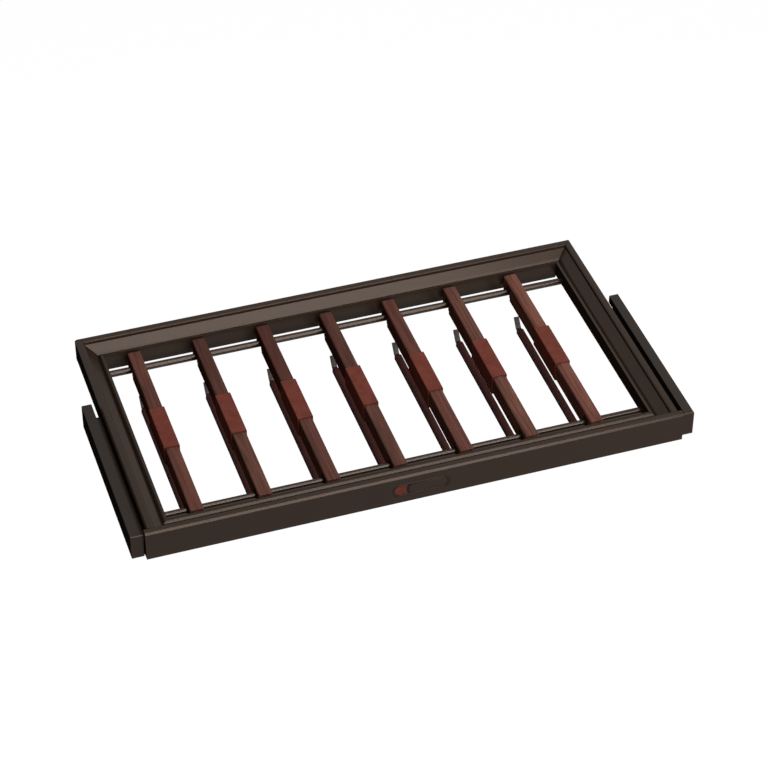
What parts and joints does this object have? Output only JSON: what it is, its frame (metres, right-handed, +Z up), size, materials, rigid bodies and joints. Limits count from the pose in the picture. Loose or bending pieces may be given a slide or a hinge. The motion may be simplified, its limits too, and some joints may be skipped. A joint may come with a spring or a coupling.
{
  "type": "pull out trouser rack",
  "caption": "Pull-out trouser rack: mitred dark bronze frame on side slides, with sliding wooden hangers, leather sleeves and soft lower bars with upturned steel tips.",
  "frame": {"origin": "middle of the whole rack's box, closed: halfway between the two cabinet sides, halfway from the fascia's front to the rear profile's back, and halfway from the lower bars' underside to the frame's top", "axes": "+X to the right seen from the front, -Y out of the cabinet towards the user, +Z up"},
  "size_m": [0.864, 0.4562, 0.0936],
  "materials": {
    "frame_finish": "satin dark bronze, anodised",
    "slide_paint": "satin dark bronze paint",
    "slide_steel": "dark zinc",
    "rod_steel": "polished dark bronze",
    "key_metal": "as cast",
    "wood": "oiled walnut, reddish brown",
    "leather": "smooth saddle leather",
    "soft_grip": "matt soft covering, dark red brown",
    "strip_steel": "satin",
    "glide_plastic": "moulded, black brown"
  },
  "bodies": {
    "cabinet_slides": {"left_slide_cover": "slide_paint", "right_slide_cover": "slide_paint"},
    "frame": {"front_fascia": "frame_finish", "rear_profile": "frame_finish", "left_profile": "frame_finish", "right_profile": "frame_finish", "front_left_corner_key": "key_metal", "front_right_corner_key": "key_metal", "rear_left_corner_key": "key_metal", "rear_right_corner_key": "key_metal", "front_rod": "rod_steel", "rear_rod": "rod_steel", "badge_plate": "frame_finish", "badge_leather": "leather", "left_slide_drawer_member": "slide_paint", "right_slide_drawer_member": "slide_paint"},
    "left_intermediate": {"left_slide_intermediate": "slide_steel"},
    "right_intermediate": {"right_slide_intermediate": "slide_steel"},
    "hanger1": {"hanger1_top_bar": "wood", "hanger1_leather_sleeve": "leather", "hanger1_steel_strip": "strip_steel", "hanger1_lower_bar": "soft_grip", "hanger1_front_glide": "glide_plastic", "hanger1_rear_glide": "glide_plastic"},
    "hanger2": {"hanger2_top_bar": "wood", "hanger2_leather_sleeve": "leather", "hanger2_steel_strip": "strip_steel", "hanger2_lower_bar": "soft_grip", "hanger2_front_glide": "glide_plastic", "hanger2_rear_glide": "glide_plastic"},
    "hanger3": {"hanger3_top_bar": "wood", "hanger3_leather_sleeve": "leather", "hanger3_steel_strip": "strip_steel", "hanger3_lower_bar": "soft_grip", "hanger3_front_glide": "glide_plastic", "hanger3_rear_glide": "glide_plastic"},
    "hanger4": {"hanger4_top_bar": "wood", "hanger4_leather_sleeve": "leather", "hanger4_steel_strip": "strip_steel", "hanger4_lower_bar": "soft_grip", "hanger4_front_glide": "glide_plastic", "hanger4_rear_glide": "glide_plastic"},
    "hanger5": {"hanger5_top_bar": "wood", "hanger5_leather_sleeve": "leather", "hanger5_steel_strip": "strip_steel", "hanger5_lower_bar": "soft_grip", "hanger5_front_glide": "glide_plastic", "hanger5_rear_glide": "glide_plastic"},
    "hanger6": {"hanger6_top_bar": "wood", "hanger6_leather_sleeve": "leather", "hanger6_steel_strip": "strip_steel", "hanger6_lower_bar": "soft_grip", "hanger6_front_glide": "glide_plastic", "hanger6_rear_glide": "glide_plastic"},
    "hanger7": {"hanger7_top_bar": "wood", "hanger7_leather_sleeve": "leather", "hanger7_steel_strip": "strip_steel", "hanger7_lower_bar": "soft_grip", "hanger7_front_glide": "glide_plastic", "hanger7_rear_glide": "glide_plastic"}
  },
  "joints": [
    {"name": "pull_out", "type": "slide", "parent": "cabinet_slides", "child": "frame", "axis": [0, -1, 0], "range_m": [0, 0.3]},
    {"name": "left_intermediate_slide", "type": "slide", "parent": "cabinet_slides", "child": "left_intermediate", "axis": [0, -1, 0], "range_m": [0, 0.15]},
    {"name": "right_intermediate_slide", "type": "slide", "parent": "cabinet_slides", "child": "right_intermediate", "axis": [0, -1, 0], "range_m": [0, 0.15]},
    {"name": "hanger1_slide", "type": "slide", "parent": "frame", "child": "hanger1", "axis": [1, 0, 0], "range_m": [-0.033, 0.033]},
    {"name": "hanger2_slide", "type": "slide", "parent": "frame", "child": "hanger2", "axis": [1, 0, 0], "range_m": [-0.033, 0.033]},
    {"name": "hanger3_slide", "type": "slide", "parent": "frame", "child": "hanger3", "axis": [1, 0, 0], "range_m": [-0.033, 0.033]},
    {"name": "hanger4_slide", "type": "slide", "parent": "frame", "child": "hanger4", "axis": [1, 0, 0], "range_m": [-0.033, 0.033]},
    {"name": "hanger5_slide", "type": "slide", "parent": "frame", "child": "hanger5", "axis": [1, 0, 0], "range_m": [-0.033, 0.033]},
    {"name": "hanger6_slide", "type": "slide", "parent": "frame", "child": "hanger6", "axis": [1, 0, 0], "range_m": [-0.033, 0.033]},
    {"name": "hanger7_slide", "type": "slide", "parent": "frame", "child": "hanger7", "axis": [1, 0, 0], "range_m": [-0.033, 0.033]}
  ],
  "couplings": [
    {"joint": "left_intermediate_slide", "follows": "pull_out", "ratio": 0.5},
    {"joint": "right_intermediate_slide", "follows": "pull_out", "ratio": 0.5}
  ]
}
